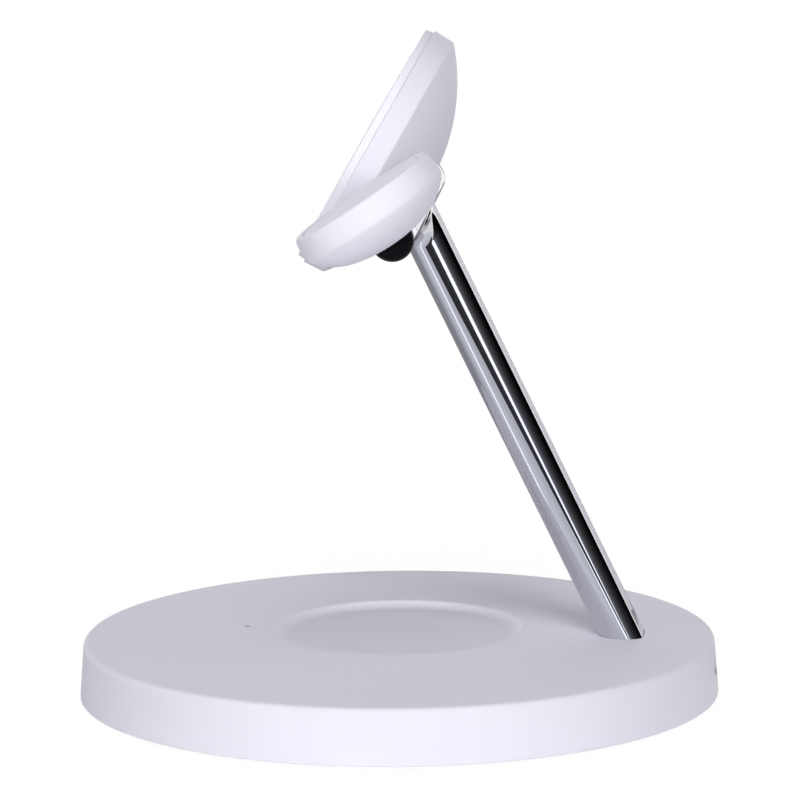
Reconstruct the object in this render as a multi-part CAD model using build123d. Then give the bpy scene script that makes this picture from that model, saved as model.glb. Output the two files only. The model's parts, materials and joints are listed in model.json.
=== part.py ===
from build123d import *
import math
import os

# Three-in-one wireless charging stand, in millimetres.
# A round weighted base with an earbud dish carries a polished stem that leans forward.
# A cross bar on the stem carries a phone pad at one end and a watch pad at the other,
# and each pad tilts about the bar on a friction clamp.
# Origin: middle of the underside. The user faces +Y, up is +Z.

# Base
base_r = 66.5
base_draft = 0.9
base_h = 12.15
base_crown = 2.4
base_edge_round = 1.2
base_lip_round = 0.3
base_lip_z = 0.6
base_wall = 2.2
base_top_wall = 2.0
dish_r = 25.7
dish_depth = 1.8
dish_cove = 2.4
dish_crown = 0.3
dish_floor_wall = 1.5
foot_t = 1.2
foot_inset = 0.6
plate_t = 1.6
plate_gap = 0.2
ballast_t = 1.9
ballast_gap = 1.6
base_screw_count = 4
base_boss_r = 2.6
base_boss_inset = 0.8
lamp_gap = 5.9
lamp_r = 0.75
lamp_seat_r = 1.2
lamp_chip_t = 0.5

# Coil and boards of the base
earbud_coil_r = 22.0
earbud_coil_hole_r = 9.0
coil_t = 0.8
ferrite_t = 0.8
ferrite_margin = 1.0
board_t = 1.2
board_post_r = 2.4
board_hole_gap = 1.8
board_tab_x = 32.0
board_wall_gap = 1.0

# Charging inlet
inlet_drop = 5.55
inlet_w = 8.94
inlet_h = 3.26
inlet_len = 7.4
inlet_skin = 0.3
inlet_tongue_w = 6.7
inlet_tongue_t = 0.7
inlet_tongue_len = 4.4
inlet_recess = 0.3

# Stem
stem_inset = 20.1
stem_x = 13.4
stem_t = 8.15
stem_corner = 3.9
stem_wall = 1.2
stem_back_wall = 2.0
strip_t = 0.8
strip_foot_gap = 3.0
flare_r = 4.0
flare_edge = 0.25
strip_slot_w = 2.4
lead_w = 3.6
lead_t = 0.9
bracket_wall = 2.6
bracket_wing = 7.0
bracket_board_gap = 0.9
bracket_inlet_gap = 0.6

# Cross bar
bar_y = 3.4
bar_z = 103.0
bar_r = 4.32
bar_bore_r = 1.5
spigot_r = 2.4
bar_cap_t = 1.6
bar_cap_round = 0.5
bar_cap_plug = 3.0

# Friction clamps on the bar
clamp_w = 6.4
clamp_plate_t = 1.6
clamp_plate_z = 3.1
clamp_play = 0.2
groove_wall = 1.1

# Phone pad
phone_x = -38.0
phone_tilt = 60.1
phone_r = 27.9
phone_face_z = 15.3
phone_disc_t = 1.65
phone_disc_round = 0.7
phone_rim_end = 6.4
phone_depth = 16.8
phone_wall = 1.6
phone_spigot = 0.9
phone_ledge = 0.5
phone_clamp_half = 9.5
magnet_count = 18
magnet_w = 3.0
magnet_gap_deg = 2.0
magnet_t = 1.3
phone_coil_gap = 1.0
phone_coil_hole_r = 9.0
phone_board_r = 17.0

# Watch pad
watch_x = 49.0
watch_tilt = 33.7
watch_face_z = 10.6
watch_drop = 0.5
watch_max_r = 16.3
watch_lip_taper = 0.7
watch_lip_round = 0.7
watch_lip_w = 2.0
watch_max_depth = 3.5
watch_depth = 11.5
watch_wall = 1.4
watch_face_t = 1.4
watch_face_hollow = 0.5
watch_face_sunk = 0.1
watch_ledge = 1.0
watch_clamp_half = 7.4
watch_coil_gap = 2.0
watch_coil_hole_r = 5.2
watch_ferrite_t = 0.6
watch_magnet_r = 4.2
watch_magnet_t = 1.4

# Screws
m2_r = 0.9
m2_head_r = 1.7
m2_head_t = 0.9
m2_len = 3.6
m3_r = 1.4
m3_head_r = 2.6
m3_head_t = 1.1
screw_gap = 0.15
pilot_gap = 0.05

# Fits
seam_gap = 0.15
running_gap = 0.05
clear_gap = 0.3
press_gap = 0.05
slip_gap = 0.1

os.makedirs("parts", exist_ok=True)


def disc(r, z0, z1):
    return Pos(0, 0, z0) * Cylinder(r, z1 - z0, align=(Align.CENTER, Align.CENTER, Align.MIN))


def ring(r_out, r_in, z0, z1):
    return disc(r_out, z0, z1) - disc(r_in, z0, z1)


def block(x0, x1, y0, y1, z0, z1):
    middle = Pos((x0 + x1) / 2, (y0 + y1) / 2, (z0 + z1) / 2)
    return middle * Box(x1 - x0, y1 - y0, z1 - z0)


def rod_x(r, x0, x1):
    return Pos((x0 + x1) / 2, 0, 0) * Rot(0, 90, 0) * Cylinder(r, abs(x1 - x0))


def turned(*lines):
    edges = [edge for line in lines for edge in line.edges()]
    return revolve(Plane.XZ * make_face(edges), Axis.Z)


def slot_y(w, h, y0, y1, z):
    plane = Plane(origin=(0, y0, z), x_dir=(1, 0, 0), z_dir=(0, 1, 0))
    return extrude(plane * SlotOverall(w, h), y1 - y0)


def screw(r, head_r, head_t, length):
    return disc(head_r, 0, head_t) + disc(r, -length, head_t)


def rims(solid, r):
    circles = solid.edges().filter_by(GeomType.CIRCLE)
    return [edge for edge in circles if math.isclose(edge.radius, r)]


def write(name, shape):
    shape.label = name
    export_step(shape, f"parts/{name}.step")


# Heights in the base, from the table up
plate_z = foot_t
ballast_z = plate_z + plate_t
bracket_z = ballast_z + ballast_t
ceiling_z = base_h - base_top_wall
bracket_top_z = ceiling_z - slip_gap
inlet_z = base_h - inlet_drop
board_z = inlet_z + inlet_h / 2
board_top_z = board_z + board_t
bracket_wing_t = board_z - bracket_board_gap - bracket_z
base_top_r = base_r - base_draft
crown_r = (base_top_r ** 2 + base_crown ** 2) / (2 * base_crown)


def wall_r(z):
    share = (z - base_lip_z) / (base_h - base_lip_z)
    return base_r + (base_top_r - base_r) * share


def top_z(r):
    return base_h + base_crown - crown_r + math.sqrt(crown_r ** 2 - r ** 2)


dish_edge_z = top_z(dish_r)
dish_low_z = dish_edge_z - dish_depth
coil_seat_z = dish_low_z - dish_floor_wall

# Radii in the base, from the wall inwards
room_r = wall_r(ceiling_z) - base_wall
plate_r = base_r - base_wall - plate_gap
boss_ring_r = room_r - base_boss_inset - base_boss_r
ballast_r = boss_ring_r - base_boss_r - ballast_gap
coil_seat_r = dish_r + dish_floor_wall
board_out_r = ballast_r
board_in_r = coil_seat_r + board_hole_gap
post_ring_r = (board_in_r + board_out_r) / 2
lamp_y = -dish_r - lamp_gap
inlet_back_y = wall_r(inlet_z) - inlet_recess
inlet_front_y = inlet_back_y - inlet_len

# Stem line, from the base top at its foot up to the axis of the bar
stem_foot_y = base_r - stem_inset
stem_foot_z = top_z(stem_foot_y)
stem_slope = (stem_foot_y - bar_y) / (bar_z - stem_foot_z)
stem_lean = math.degrees(math.atan(stem_slope))
stem_len = math.hypot(stem_foot_y - bar_y, bar_z - stem_foot_z)
stem_at = Pos(0, stem_foot_y, stem_foot_z) * Rot(stem_lean, 0, 0)
stem_down = (stem_foot_z - bracket_z) / math.cos(math.radians(stem_lean))
stem_over = stem_t
stem_half_y = stem_t / 2 / math.cos(math.radians(stem_lean))
bar_at = Pos(0, bar_y, bar_z)
phone_at = Pos(phone_x, bar_y, bar_z) * Rot(phone_tilt, 0, 0)
watch_at = Pos(watch_x, bar_y, bar_z) * Rot(watch_tilt, 0, 0)


def stem_y(z):
    return stem_foot_y + (stem_foot_z - z) * stem_slope


def stem_prism(grow, z0, z1):
    outline = RectangleRounded(stem_x + 2 * grow, stem_t + 2 * grow, stem_corner + grow)
    return stem_at * extrude(Pos(0, 0, z0) * outline, z1 - z0)


def round_places(r):
    turn = 360 / base_screw_count
    return [Rot(0, 0, turn * (i + 0.5)) * Pos(r, 0, 0) for i in range(base_screw_count)]


# Stem foot bracket: a leaning socket with two screwed wings on the ballast plate
bracket_side = stem_x / 2 + bracket_wall
bracket_wing_x = bracket_side + bracket_wing / 2
bracket_y0 = stem_y(bracket_top_z) - stem_half_y - bracket_wall
bracket_y1 = inlet_front_y - bracket_inlet_gap
bracket_mid_y = (bracket_y0 + bracket_y1) / 2
bracket_reach = bracket_side + bracket_wing
wing_places = [Pos(side * bracket_wing_x, bracket_mid_y, 0) for side in (-1, 1)]


def stem_foot_bracket():
    socket = block(-bracket_side, bracket_side, bracket_y0, bracket_y1, bracket_z, bracket_top_z)
    wings_y = bracket_wing / 2
    wings = block(-bracket_reach, bracket_reach, bracket_mid_y - wings_y, bracket_mid_y + wings_y,
                  bracket_z, bracket_z + bracket_wing_t)
    body = socket + wings
    body -= stem_prism(press_gap, -2 * stem_down, stem_over)
    for place in wing_places:
        body -= place * disc(m3_r + pilot_gap, bracket_z, bracket_z + bracket_wing_t)
    return body


# Base shell: tapered drum with a rounded top edge, an earbud dish, bosses and the inlet port
def earbud_dish():
    floor_r = dish_r - dish_cove
    cove_z = dish_low_z + dish_crown
    above_z = dish_edge_z + dish_depth
    floor = TangentArc((0, dish_low_z), (floor_r, cove_z), tangent=(1, 0))
    cove = TangentArc((floor_r, cove_z), (dish_r, dish_edge_z), tangent=floor % 1)
    lid = Polyline((dish_r, dish_edge_z), (dish_r, above_z), (0, above_z), (0, dish_low_z))
    return turned(floor, cove, lid)


def base_drum():
    crown_z = base_h + base_crown
    crown = TangentArc((0, crown_z), (base_top_r, base_h), tangent=(1, 0))
    side = Polyline((base_top_r, base_h), (base_r, base_lip_z), (0, base_lip_z), (0, crown_z))
    drum = turned(crown, side)
    drum = fillet(rims(drum, base_top_r), base_edge_round)
    return fillet(rims(drum, base_r), base_lip_round)


def base_room():
    crown_z = base_h + base_crown - base_top_wall
    crown = TangentArc((0, crown_z), (room_r, ceiling_z), tangent=(1, 0))
    side = Polyline((room_r, ceiling_z), (wall_r(0) - base_wall, 0), (0, 0), (0, crown_z))
    return turned(crown, side) - disc(coil_seat_r, coil_seat_z, crown_z)


def base_shell():
    drum = base_drum()
    shell = drum - base_room() - earbud_dish()
    for place in round_places(boss_ring_r):
        shell += place * disc(base_boss_r, ballast_z, base_h) & drum
        shell -= place * disc(m2_r + pilot_gap, ballast_z, ballast_z + m2_len)
    for place in round_places(post_ring_r):
        shell += place * disc(board_post_r, board_top_z, base_h)
        shell -= place * disc(m2_r + pilot_gap, board_top_z, board_z + m2_len)
    shell -= Pos(0, lamp_y, 0) * disc(lamp_r + press_gap, board_top_z, 2 * base_h)
    shell -= stem_prism(slip_gap, -2 * stem_down, stem_over)
    port_w = inlet_w + 2 * clear_gap
    port_h = inlet_h + 2 * clear_gap
    return shell - slot_y(port_w, port_h, room_r - base_wall, 2 * base_r, inlet_z)


def rubber_foot():
    return disc(plate_r - foot_inset, 0, foot_t)


def base_bottom_plate():
    plate = disc(plate_r, plate_z, ballast_z)
    for place in round_places(boss_ring_r):
        plate -= place * disc(m2_r + screw_gap, plate_z, ballast_z)
        plate -= place * disc(m2_head_r + screw_gap, plate_z, plate_z + m2_head_t)
    for place in wing_places:
        plate -= place * disc(m3_r + screw_gap, plate_z, ballast_z)
        plate -= place * disc(m3_head_r + screw_gap, plate_z, plate_z + m3_head_t)
    return plate


def ballast_plate():
    plate = disc(ballast_r, ballast_z, bracket_z)
    for place in wing_places:
        plate -= place * disc(m3_r + screw_gap, ballast_z, bracket_z)
    return plate


def screws_up(one, seat_z, places):
    upward = Pos(0, 0, seat_z) * Rot(180, 0, 0) * one
    return Compound([place * upward for place in places])


def base_screws():
    one = screw(m2_r, m2_head_r, m2_head_t, m2_len)
    return screws_up(one, plate_z + m2_head_t, round_places(boss_ring_r))


def board_screws():
    one = screw(m2_r, m2_head_r, m2_head_t, m2_len)
    return screws_up(one, board_z, round_places(post_ring_r))


def stem_screws():
    seat_z = plate_z + m3_head_t
    one = screw(m3_r, m3_head_r, m3_head_t, bracket_z + bracket_wing_t - seat_z)
    return screws_up(one, seat_z, wing_places)


# Main board: a ring round the earbud coil, with a tab at the back that carries the inlet
def main_board():
    tab_end = room_r - board_wall_gap
    tab = block(-board_tab_x / 2, board_tab_x / 2, stem_foot_y, tab_end, board_z, board_top_z)
    board = ring(board_out_r, board_in_r, board_z, board_top_z)
    board += tab & disc(tab_end, board_z, board_top_z)
    well_x = bracket_side + slip_gap
    board -= block(-well_x, well_x, bracket_y0 - slip_gap, bracket_y1 + slip_gap, board_z, board_top_z)
    for place in round_places(post_ring_r):
        board -= place * disc(m2_r + screw_gap, board_z, board_top_z)
    return board


def usb_c_receptacle():
    can = slot_y(inlet_w, inlet_h, inlet_front_y, inlet_back_y, inlet_z)
    mouth_w = inlet_w - 2 * inlet_skin
    mouth_h = inlet_h - 2 * inlet_skin
    mouth_y = inlet_back_y - inlet_tongue_len - inlet_skin
    can -= slot_y(mouth_w, mouth_h, mouth_y, inlet_back_y, inlet_z)
    half_t = inlet_tongue_t / 2
    can += block(-inlet_tongue_w / 2, inlet_tongue_w / 2, mouth_y, mouth_y + inlet_tongue_len,
                 inlet_z - half_t, inlet_z + half_t)
    return can


def earbud_coil():
    return ring(earbud_coil_r, earbud_coil_hole_r, coil_seat_z - coil_t, coil_seat_z)


def earbud_ferrite():
    top = coil_seat_z - coil_t
    return disc(earbud_coil_r + ferrite_margin, top - ferrite_t, top)


def lamp_light_pipe():
    foot_z = board_top_z + lamp_chip_t
    seat_z = top_z(abs(lamp_y) + lamp_seat_r) - base_top_wall - slip_gap
    pipe = disc(lamp_r, foot_z, 2 * base_h) + disc(lamp_seat_r, foot_z, seat_z)
    return Pos(0, lamp_y, 0) * pipe & base_drum()


def lamp_chip():
    chip = block(-lamp_r, lamp_r, -lamp_r / 2, lamp_r / 2, board_top_z, board_top_z + lamp_chip_t)
    return Pos(0, lamp_y, 0) * chip


# Stem: a rounded tube that flares into a saddle under the bar, with a covered wiring channel down its back
hollow_x = stem_x - 2 * stem_wall
hollow_t = stem_t - stem_wall - stem_back_wall
hollow_y = (stem_wall - stem_back_wall) / 2
strip_w = stem_x - 2 * stem_corner
strip_top = stem_len + stem_over


def strip_prism(w, depth, foot):
    plane = Plane(origin=(0, stem_t / 2, 0), x_dir=(1, 0, 0), z_dir=(0, -1, 0))
    length = strip_top - foot
    outline = Pos(0, foot + length / 2) * Rot(0, 0, 90) * SlotOverall(length, w)
    return stem_at * extrude(plane * outline, depth)


def saddle():
    return bar_at * rod_x(bar_r, -2 * stem_x, 2 * stem_x)


def above_bar_axis():
    return stem_at * block(-stem_x, stem_x, -stem_x, stem_x, stem_len, stem_len + 2 * stem_over)


def flared_stem():
    stem = stem_prism(0, -2 * stem_down, stem_len)
    reach = stem_x / 2 + 2 * flare_r
    joined = stem + bar_at * rod_x(bar_r + flare_edge, -reach, reach)
    near = [edge for edge in joined.edges() if abs(edge.center().X) < stem_x / 2 + flare_edge]
    joint = [edge for edge in near if edge.center().Z > bar_z - 2 * bar_r]
    outline = RectangleRounded(stem_x + 2 * flare_r, stem_t + flare_edge, stem_corner)
    column = extrude(Pos(0, 0, -2 * stem_down) * outline, stem_len + 2 * stem_down)
    return fillet(joint, flare_r) & stem_at * column


def stem_tube():
    tube = flared_stem()
    corner = min(stem_corner - stem_wall, hollow_t / 2 - slip_gap)
    hollow = Pos(0, hollow_y, -2 * stem_down) * RectangleRounded(hollow_x, hollow_t, corner)
    tube -= stem_at * extrude(hollow, stem_len + 2 * stem_down)
    tube -= strip_prism(strip_w, strip_t, strip_foot_gap)
    tube -= strip_prism(strip_slot_w, stem_back_wall + slip_gap, strip_foot_gap + strip_w)
    tube -= saddle()
    return tube - block(-stem_x, stem_x, 0, 2 * base_r, bracket_z - base_r, bracket_z)


def stem_rear_cover():
    cover = strip_prism(strip_w - 2 * seam_gap, strip_t, strip_foot_gap + seam_gap)
    return cover - saddle() - above_bar_axis()


def stem_lead():
    front_y = hollow_y - hollow_t / 2
    lead = block(-lead_w / 2, lead_w / 2, front_y, front_y + lead_t, -stem_down, stem_len)
    floor = block(-stem_x, stem_x, 0, 2 * base_r, bracket_z - base_r, bracket_z + clear_gap)
    return stem_at * lead - saddle() - floor


# Cross bar: a polished round bar, stepped at both ends for the friction clamps
def bar_end(head_x):
    side = math.copysign(1, head_x)
    cap_x = abs(head_x) - bar_cap_t
    clamp_out = cap_x - clamp_play
    clamp_in = clamp_out - clamp_w
    return side, cap_x, clamp_out, clamp_in


def cross_bar():
    ends = [bar_end(head_x) for head_x in (phone_x, watch_x)]
    cap_xs = [side * cap_x for side, cap_x, clamp_out, clamp_in in ends]
    shoulder_xs = [side * (clamp_in - clamp_play) for side, cap_x, clamp_out, clamp_in in ends]
    bar = rod_x(bar_r, *shoulder_xs) + rod_x(spigot_r, *cap_xs)
    bar -= rod_x(bar_bore_r, *cap_xs)
    bar = bar_at * bar
    lead_hole = Cylinder(bar_bore_r, 2 * bar_r, align=(Align.CENTER, Align.CENTER, Align.MAX))
    return bar - bar_at * Rot(stem_lean, 0, 0) * lead_hole


def bar_cap(head_x):
    side, cap_x, clamp_out, clamp_in = bar_end(head_x)
    cap = disc(bar_r, 0, bar_cap_t)
    cap = fillet(cap.edges().group_by(Axis.Z)[-1], bar_cap_round)
    cap += disc(bar_bore_r - press_gap, -bar_cap_plug, 0)
    return bar_at * Pos(side * cap_x, 0, 0) * Rot(0, 90 * side, 0) * cap


# Heads: local origin on the bar axis, local Z out of the charging face
def clamp_span(head_x):
    side, cap_x, clamp_out, clamp_in = bar_end(head_x)
    return sorted((side * clamp_out - head_x, side * clamp_in - head_x))


def clamp_screw_places(head_x, half):
    x0, x1 = clamp_span(head_x)
    out_y = half - m2_head_r - screw_gap
    return [Pos((x0 + x1) / 2, side * out_y, 0) for side in (-1, 1)]


def hinge_clamp(head_x, half):
    x0, x1 = clamp_span(head_x)
    plate_top = clamp_plate_z + clamp_plate_t
    plate = block(x0, x1, -half, half, clamp_plate_z, plate_top)
    clamp = plate + rod_x(bar_r, x0, x1) - rod_x(spigot_r + running_gap, x0, x1)
    for place in clamp_screw_places(head_x, half):
        clamp -= place * disc(m2_r + screw_gap, clamp_plate_z, plate_top)
    return clamp


def clamp_screws(head_x, half):
    one = Pos(0, 0, clamp_plate_z + clamp_plate_t) * screw(m2_r, m2_head_r, m2_head_t, m2_len)
    return Compound([place * one for place in clamp_screw_places(head_x, half)])


def seated_on_bar(shell, outer, head_x, half, reach):
    side = math.copysign(1, head_x)
    groove_r = bar_r + clear_gap
    end_x = side * clear_gap
    far_x = -side * 2 * reach
    x0, x1 = clamp_span(head_x)
    window = block(x0 - slip_gap, x1 + slip_gap, -half - slip_gap, half + slip_gap, 0, 2 * reach)
    sleeve = rod_x(groove_r + groove_wall, end_x + side * groove_wall, far_x) & outer
    shell += sleeve - window
    for place in clamp_screw_places(head_x, half):
        shell += place * disc(m2_head_r, -reach, clamp_plate_z) & outer
        shell -= place * disc(m2_r + pilot_gap, clamp_plate_z + clamp_plate_t - m2_len, clamp_plate_z)
    return shell - rod_x(groove_r, end_x, far_x)


def phone_dome(r, z_rim, z_back, z_front):
    back = TangentArc((0, z_back), (r, z_rim), tangent=(1, 0))
    wall = Polyline((r, z_rim), (r, z_front), (0, z_front), (0, z_back))
    return turned(back, wall)


phone_seam_z = phone_face_z - phone_disc_t - seam_gap
phone_seat_z = phone_seam_z - phone_spigot
phone_rim_z = phone_face_z - phone_rim_end
phone_back_z = phone_face_z - phone_depth
phone_spigot_r = phone_r - phone_wall
phone_room_r = phone_spigot_r - phone_ledge
magnet_out_r = phone_room_r - clear_gap
magnet_in_r = magnet_out_r - magnet_w
phone_coil_r = magnet_in_r - phone_coil_gap


def phone_shell():
    outer = phone_dome(phone_r, phone_rim_z, phone_back_z, phone_seam_z)
    room = phone_dome(phone_room_r, phone_rim_z, phone_back_z + phone_wall, phone_seam_z)
    shell = outer - room - disc(phone_spigot_r, phone_seat_z, phone_seam_z)
    return seated_on_bar(shell, outer, phone_x, phone_clamp_half, phone_r)


def phone_front_disc():
    pad = disc(phone_r, phone_face_z - phone_disc_t, phone_face_z)
    pad = fillet(pad.edges().group_by(Axis.Z)[-1], phone_disc_round)
    return pad + disc(phone_spigot_r - slip_gap, phone_seat_z, phone_face_z - phone_disc_t)


def phone_magnets():
    step = 360 / magnet_count
    middle = Pos((magnet_in_r + magnet_out_r) / 2, phone_seat_z - magnet_t / 2)
    section = Plane.XZ * middle * Rectangle(magnet_out_r - magnet_in_r, magnet_t)
    magnet = revolve(section, Axis.Z, step - magnet_gap_deg)
    return Compound([Rot(0, 0, i * step) * magnet for i in range(magnet_count)])


def phone_coil():
    return ring(phone_coil_r, phone_coil_hole_r, phone_seat_z - coil_t, phone_seat_z)


def phone_ferrite():
    return disc(phone_coil_r, phone_seat_z - coil_t - ferrite_t, phone_seat_z - coil_t)


def phone_board():
    top = phone_seat_z - coil_t - ferrite_t
    return disc(phone_board_r, top - board_t, top)


watch_seat_z = watch_face_z - watch_face_t - watch_face_sunk
watch_max_z = watch_face_z - watch_max_depth
watch_lip_r = watch_max_r - watch_lip_taper
watch_face_r = watch_lip_r - watch_lip_w
watch_coil_r = watch_face_r - watch_coil_gap
watch_pad = Pos(0, -watch_drop, 0)


def watch_barrel(inset, z_front):
    wide = watch_max_r - inset
    deep = watch_depth - watch_max_depth - inset
    bowl = EllipticalCenterArc((0, watch_max_z), wide, deep, start_angle=270, arc_size=90)
    lip = (watch_lip_r - inset, watch_face_z)
    side = TangentArc((wide, watch_max_z), lip, tangent=(0, 1))
    front = Polyline(lip, (0, watch_face_z), (0, watch_max_z - deep))
    return watch_pad * (turned(bowl, side, front) - disc(2 * watch_max_r, z_front, 2 * watch_face_z))


def watch_shell():
    outer = watch_barrel(0, watch_face_z)
    outer = fillet(outer.edges().group_by(Axis.Z)[-1], watch_lip_round)
    room = watch_barrel(watch_wall, watch_seat_z - watch_ledge)
    shell = outer - room - watch_pad * disc(watch_face_r, watch_seat_z, 2 * watch_face_z)
    shell -= watch_pad * disc(watch_face_r - watch_ledge, watch_seat_z - 2 * watch_ledge, watch_face_z)
    return seated_on_bar(shell, outer, watch_x, watch_clamp_half, watch_max_r)


def watch_face():
    r = watch_face_r - slip_gap
    edge_z = watch_face_z - watch_face_sunk
    low_z = edge_z - watch_face_hollow
    hollow = TangentArc((0, low_z), (r, edge_z), tangent=(1, 0))
    body = Polyline((r, edge_z), (r, watch_seat_z), (0, watch_seat_z), (0, low_z))
    return turned(hollow, body)


def watch_coil():
    return ring(watch_coil_r, watch_coil_hole_r, watch_seat_z - coil_t, watch_seat_z)


def watch_ferrite():
    top = watch_seat_z - coil_t
    return ring(watch_coil_r, watch_coil_hole_r, top - watch_ferrite_t, top)


def watch_magnet():
    return disc(watch_magnet_r, watch_seat_z - watch_magnet_t, watch_seat_z)


base_nodes = {
    "base_shell": base_shell(),
    "base_bottom_plate": base_bottom_plate(),
    "rubber_foot": rubber_foot(),
    "ballast_plate": ballast_plate(),
    "main_board": main_board(),
    "usb_c_receptacle": usb_c_receptacle(),
    "earbud_coil": earbud_coil(),
    "earbud_ferrite": earbud_ferrite(),
    "lamp_light_pipe": lamp_light_pipe(),
    "lamp_chip": lamp_chip(),
    "base_screws": base_screws(),
    "board_screws": board_screws(),
    "stem_foot_bracket": stem_foot_bracket(),
    "stem_screws": stem_screws(),
    "stem_tube": stem_tube(),
    "stem_rear_cover": stem_rear_cover(),
    "stem_lead": stem_lead(),
    "cross_bar": cross_bar(),
    "phone_bar_cap": bar_cap(phone_x),
    "watch_bar_cap": bar_cap(watch_x),
}
phone_nodes = {
    "phone_shell": phone_shell(),
    "phone_front_disc": phone_front_disc(),
    "phone_magnets": phone_magnets(),
    "phone_coil": phone_coil(),
    "phone_ferrite": phone_ferrite(),
    "phone_board": phone_board(),
    "phone_hinge_clamp": hinge_clamp(phone_x, phone_clamp_half),
    "phone_clamp_screws": clamp_screws(phone_x, phone_clamp_half),
}
watch_nodes = {
    "watch_shell": watch_shell(),
    "watch_face": watch_pad * watch_face(),
    "watch_coil": watch_pad * watch_coil(),
    "watch_ferrite": watch_pad * watch_ferrite(),
    "watch_magnet": watch_pad * watch_magnet(),
    "watch_hinge_clamp": hinge_clamp(watch_x, watch_clamp_half),
    "watch_clamp_screws": clamp_screws(watch_x, watch_clamp_half),
}
for name, shape in base_nodes.items():
    write(name, shape)
for name, shape in phone_nodes.items():
    write(name, phone_at * shape)
for name, shape in watch_nodes.items():
    write(name, watch_at * shape)
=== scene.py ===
import json
import math
import bmesh
import bpy
from mathutils import Matrix, Vector


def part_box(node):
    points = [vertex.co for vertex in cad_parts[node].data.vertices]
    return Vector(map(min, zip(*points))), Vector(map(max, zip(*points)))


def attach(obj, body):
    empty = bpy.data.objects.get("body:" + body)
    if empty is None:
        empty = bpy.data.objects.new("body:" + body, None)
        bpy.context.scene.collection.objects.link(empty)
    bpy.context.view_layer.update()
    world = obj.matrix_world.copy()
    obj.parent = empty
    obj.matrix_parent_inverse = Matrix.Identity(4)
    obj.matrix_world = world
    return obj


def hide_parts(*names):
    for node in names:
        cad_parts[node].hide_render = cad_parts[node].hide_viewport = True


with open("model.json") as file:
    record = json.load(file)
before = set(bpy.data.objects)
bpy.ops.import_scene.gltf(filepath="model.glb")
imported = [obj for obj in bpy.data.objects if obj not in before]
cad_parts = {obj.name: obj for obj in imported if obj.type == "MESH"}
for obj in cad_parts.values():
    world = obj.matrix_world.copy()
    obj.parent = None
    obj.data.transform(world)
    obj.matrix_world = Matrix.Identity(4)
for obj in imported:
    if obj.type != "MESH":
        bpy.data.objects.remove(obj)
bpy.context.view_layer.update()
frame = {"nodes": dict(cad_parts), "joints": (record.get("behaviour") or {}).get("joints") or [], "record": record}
scene = bpy.context.scene
scene.view_settings.view_transform = "Standard"
mm = 0.001
weld = 1e-7  # points nearer than this are one
print("frame loaded:", len(frame["nodes"]), "nodes")


# places that the frame gives
jointAt = {joint["name"]: Vector(joint["pos_m"]) for joint in frame["joints"]}
barMiddle = Vector((0, *jointAt["watch_tilt"].yz))
barRadius = (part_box("cross_bar")[1].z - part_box("cross_bar")[0].z) / 2 / mm
alongX = Matrix.Translation(barMiddle) @ Matrix.Rotation(math.radians(90), 4, "Y")


# node helpers
def put(tree, kind, settings, *values):
    node = tree.nodes.new(kind)
    for key, value in settings.items():
        setattr(node, key, value)
    for socket, value in zip(node.inputs, values):
        if isinstance(value, bpy.types.NodeSocket):
            tree.links.new(value, socket)
        elif value is not None:
            socket.default_value = value
    return node


def calc(tree, operation, *values):
    return put(tree, "ShaderNodeMath", {"operation": operation}, *values).outputs[0]


def newTree(name, **inputs):
    tree = bpy.data.node_groups.new(name, "GeometryNodeTree")
    tree.interface.new_socket("Geometry", in_out="OUTPUT", socket_type="NodeSocketGeometry")
    for label, kind in inputs.items():
        tree.interface.new_socket(label, in_out="INPUT", socket_type="NodeSocket" + kind)
    given = tree.nodes.new("NodeGroupInput").outputs
    return tree, given


def closeTree(tree, geometry, finish):
    plain = put(tree, "GeometryNodeRealizeInstances", {}, geometry).outputs[0]
    painted = put(tree, "GeometryNodeSetMaterial", {}, plain, None, finish).outputs[0]
    put(tree, "NodeGroupOutput", {}, painted)


def grow(name, tree, seed, **inputs):
    # runs a tree on a seed mesh and keeps the result as a plain mesh
    source = bpy.data.objects.new(name + "Seed", seed)
    scene.collection.objects.link(source)
    modifier = source.modifiers.new("grow", "NODES")
    modifier.node_group = tree
    for item in tree.interface.items_tree:
        if item.in_out == "INPUT" and item.name in inputs:
            modifier[item.identifier] = inputs[item.name]
    mesh = settledMesh(source)
    source.modifiers.remove(modifier)
    bpy.data.objects.remove(source)
    return addPiece(name, mesh)


def settledMesh(source):
    bpy.context.view_layer.update()
    graph = bpy.context.evaluated_depsgraph_get()
    return bpy.data.meshes.new_from_object(source.evaluated_get(graph), depsgraph=graph)


def addPiece(name, mesh):
    mesh.name = name
    piece = bpy.data.objects.new(name, mesh)
    scene.collection.objects.link(piece)
    return piece


def meshPiece(name, points, faces, finish=None):
    mesh = bpy.data.meshes.new(name)
    mesh.from_pydata([Vector(point) * mm for point in points], [], faces)
    if finish:
        mesh.materials.append(finish)
    piece = addPiece(name, mesh)
    faceOutwards(piece)
    return piece


def faceOutwards(piece):
    form = bmesh.new()
    form.from_mesh(piece.data)
    bmesh.ops.remove_doubles(form, verts=form.verts, dist=weld)
    bmesh.ops.dissolve_degenerate(form, edges=form.edges, dist=weld)
    bmesh.ops.recalc_face_normals(form, faces=form.faces)
    form.to_mesh(piece.data)
    form.free()


def carve(piece, *tools):
    # boolean steps, in order: ("DIFFERENCE" or "UNION", tool)
    for operation, tool in tools:
        modifier = piece.modifiers.new("carve", "BOOLEAN")
        modifier.operation = operation
        modifier.object = tool
        modifier.solver = "EXACT"
    piece.data = settledMesh(piece)
    piece.modifiers.clear()
    for operation, tool in tools:
        bpy.data.objects.remove(tool)
    return piece


def place(piece, body, nodes, matrix=None, crease=34):
    # final place, shading and frame calls of one finished piece
    if matrix:
        piece.data.transform(matrix)
    piece.data.shade_smooth()
    piece.data.set_sharp_from_angle(angle=math.radians(crease))
    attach(piece, body)
    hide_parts(*nodes)
    return piece


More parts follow.
